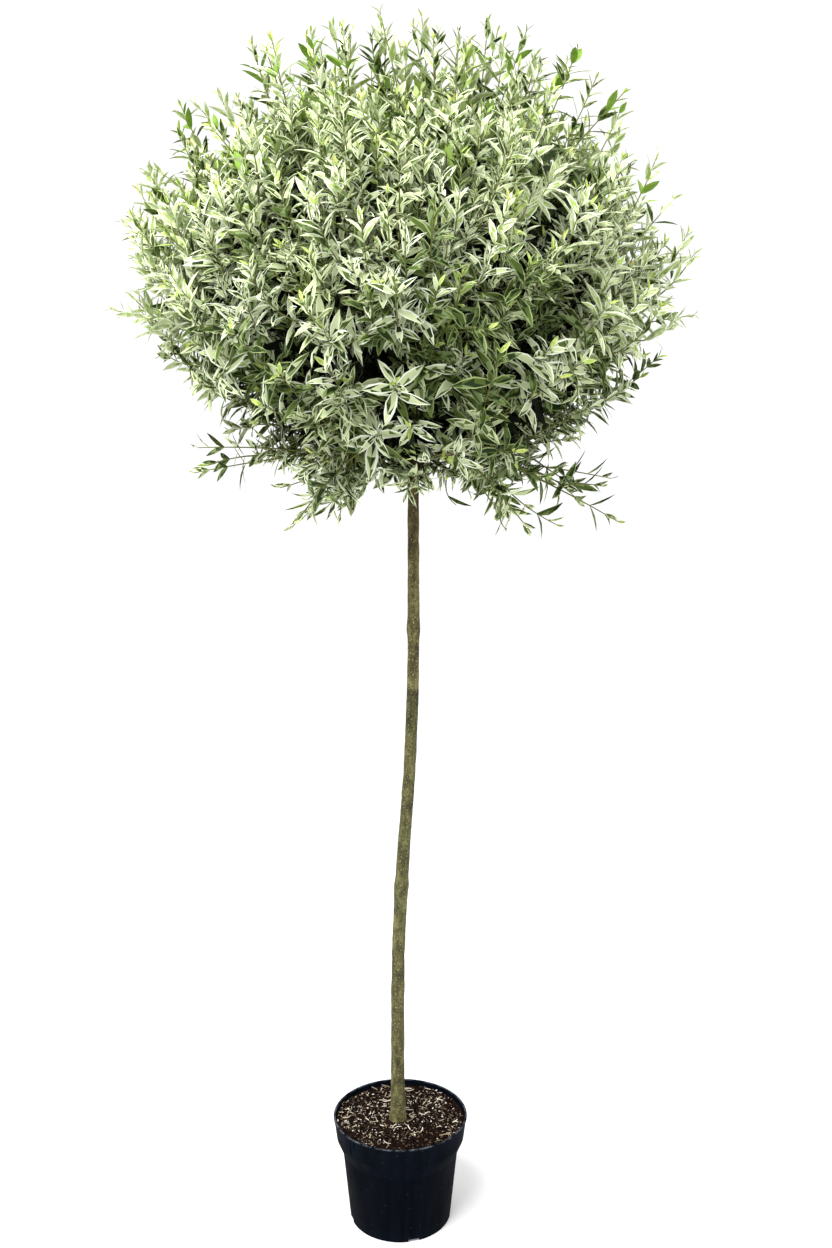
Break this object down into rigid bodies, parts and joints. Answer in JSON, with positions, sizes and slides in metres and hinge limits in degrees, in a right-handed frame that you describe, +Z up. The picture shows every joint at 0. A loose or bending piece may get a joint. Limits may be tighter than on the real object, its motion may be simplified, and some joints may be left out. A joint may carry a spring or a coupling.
{
  "type": "potted standard willow tree",
  "caption": "Willow grown as a standard: a round shaggy head of narrow cream-edged leaves grafted on a tall clear trunk, in a round black plastic nursery pot.",
  "frame": {"origin": "middle of the pot's flat underside", "axes": "+Z up along the trunk; -Y is the front, the side the picture shows; +X to the viewer's right"},
  "size_m": [1.1071, 1.0311, 2.395],
  "materials": {
    "plastic": "satin black moulded plastic, dusty",
    "compost": "moist bark and peat potting mix",
    "bark": "olive-brown young willow bark",
    "leaves": "soft matt leaves, green with cream edges"
  },
  "bodies": {
    "root": {"pot": "plastic", "potting_soil": "compost", "trunk": "bark", "bough_lower_1": "bark", "foliage_lower_1": "leaves", "bough_lower_2": "bark", "foliage_lower_2": "leaves", "bough_lower_3": "bark", "foliage_lower_3": "leaves", "bough_lower_4": "bark", "foliage_lower_4": "leaves", "bough_lower_5": "bark", "foliage_lower_5": "leaves", "bough_lower_6": "bark", "foliage_lower_6": "leaves", "bough_middle_1": "bark", "foliage_middle_1": "leaves", "bough_middle_2": "bark", "foliage_middle_2": "leaves", "bough_middle_3": "bark", "foliage_middle_3": "leaves", "bough_middle_4": "bark", "foliage_middle_4": "leaves", "bough_middle_5": "bark", "foliage_middle_5": "leaves", "bough_middle_6": "bark", "foliage_middle_6": "leaves", "bough_top_1": "bark", "foliage_top_1": "leaves", "bough_top_2": "bark", "foliage_top_2": "leaves", "bough_top_3": "bark", "foliage_top_3": "leaves", "bough_top_4": "bark", "foliage_top_4": "leaves"}
  },
  "joints": []
}
